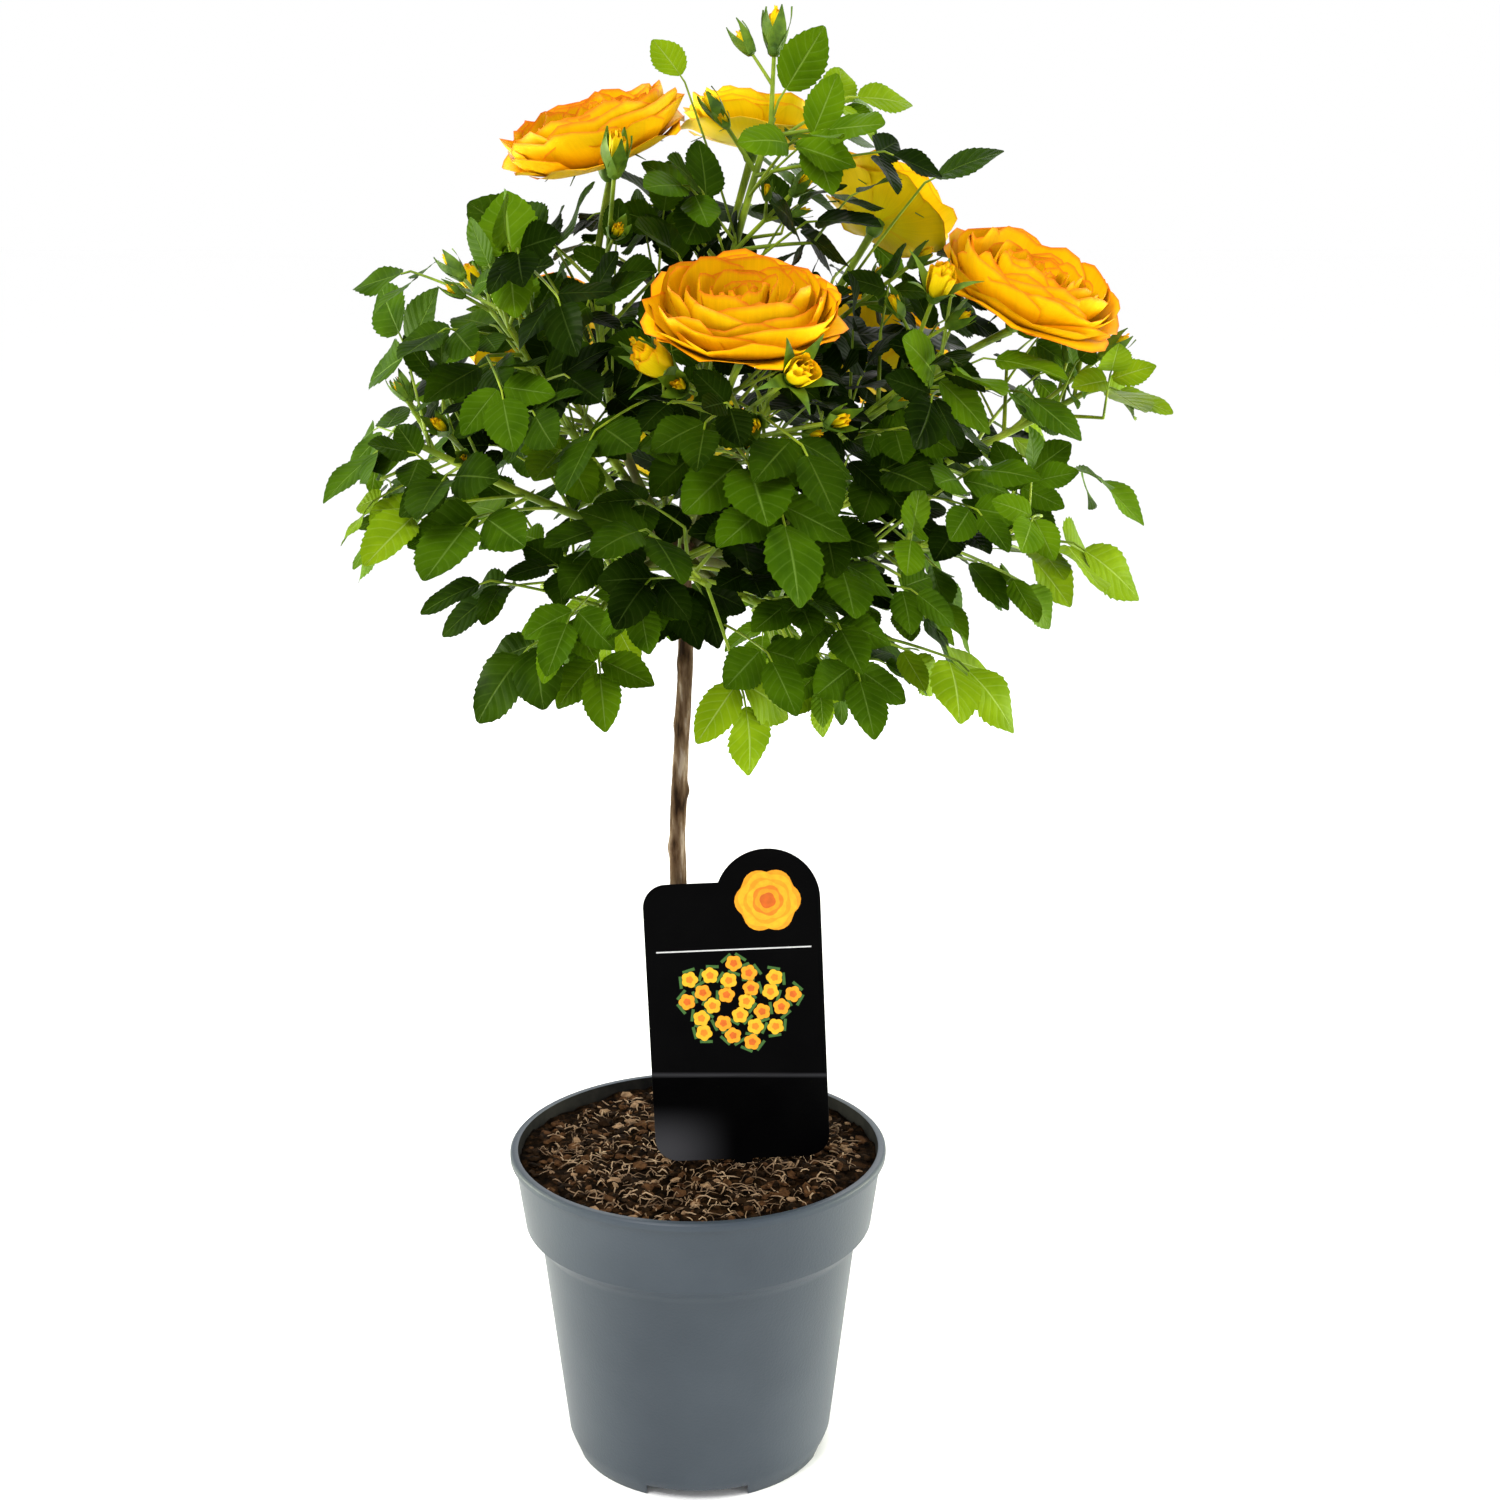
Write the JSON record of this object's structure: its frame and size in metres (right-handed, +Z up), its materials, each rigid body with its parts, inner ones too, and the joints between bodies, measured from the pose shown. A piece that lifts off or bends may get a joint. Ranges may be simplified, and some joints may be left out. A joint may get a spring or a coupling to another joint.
{
  "type": "potted standard rose",
  "caption": "Miniature rose grown as a standard: a round leafy head of open orange-yellow blooms and buds, grafted on a clear woody stem, in a round nursery pot with a plain picture label.",
  "frame": {"origin": "centre of the pot's flat underside, on the pot's axis", "axes": "+Z up along the pot's axis, -Y towards the plant's front and the label's printed side, +X to the right seen from the front"},
  "size_m": [0.293, 0.241, 0.524],
  "materials": {
    "pot_plastic": "matt slate grey polypropylene",
    "potting_soil": "moist dark peat with bark chips",
    "bark": "dry reddish-brown bark",
    "green_wood": "smooth green rind",
    "foliage": "glossy leaves",
    "petals": "soft silky petals",
    "label_card": "satin plastic card"
  },
  "bodies": {
    "root": {"pot": "pot_plastic", "soil": "potting_soil", "label": "label_card", "trunk": "bark", "bough_top": "green_wood", "bough_upper_left": "green_wood", "bough_upper_back": "green_wood", "bough_upper_right": "green_wood", "bough_front": "green_wood", "bough_right": "green_wood", "bough_left": "green_wood", "bough_far_left": "green_wood", "bough_far_right": "green_wood", "bough_side_right": "green_wood", "bough_low_left": "green_wood", "bough_low_right": "green_wood", "bough_low_front": "green_wood", "bough_back_left": "green_wood", "bough_back_right": "green_wood", "bough_back": "green_wood", "bough_low_back_left": "green_wood", "bough_low_back_right": "green_wood", "mass_top": "foliage", "mass_upper_left": "foliage", "mass_upper_back": "foliage", "mass_upper_right": "foliage", "mass_front": "foliage", "mass_right": "foliage", "mass_left": "foliage", "mass_far_left": "foliage", "mass_far_right": "foliage", "mass_side_right": "foliage", "mass_low_left": "foliage", "mass_low_right": "foliage", "mass_low_front": "foliage", "mass_back_left": "foliage", "mass_back_right": "foliage", "mass_back": "foliage", "mass_low_back_left": "foliage", "mass_low_back_right": "foliage", "bloom_upper_left": "petals", "bloom_upper_back": "petals", "bloom_upper_right": "petals", "bloom_front": "petals", "bloom_right": "petals", "bloom_back_left": "petals", "bloom_back_right": "petals", "bloom_back": "petals"}
  },
  "joints": []
}
